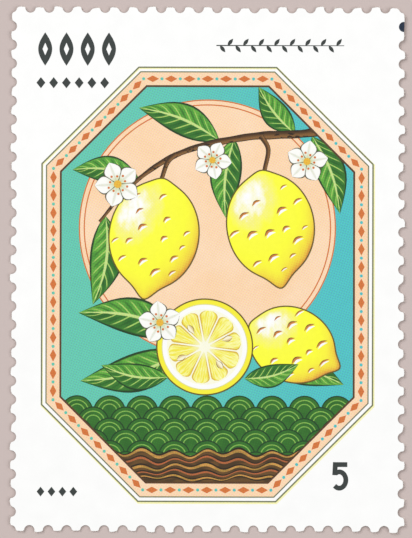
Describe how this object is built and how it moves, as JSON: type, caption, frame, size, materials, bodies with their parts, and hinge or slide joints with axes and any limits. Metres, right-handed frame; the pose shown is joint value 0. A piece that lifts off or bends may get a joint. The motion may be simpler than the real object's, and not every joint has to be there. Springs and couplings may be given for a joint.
{
  "type": "postage stamp",
  "caption": "Upright rectangular postage stamp: a thin paper sheet with perforated, torn edges, a printed picture side and a gummed back that sticks to an envelope or album page.",
  "frame": {"origin": "centre of the gummed back, which is the bottom of the stamp as it lies picture side up", "axes": "+Z out of the printed face, +Y up the stamp as it is read, along its longest side, +X to its right"},
  "size_m": [0.0326, 0.0434, 0.0001],
  "materials": {
    "stamp_paper": "white coated stamp paper, matt with a faint sheen, printed by offset litho on the front, dried gum on the back"
  },
  "bodies": {
    "root": {"stamp_paper": "stamp_paper"}
  },
  "joints": []
}
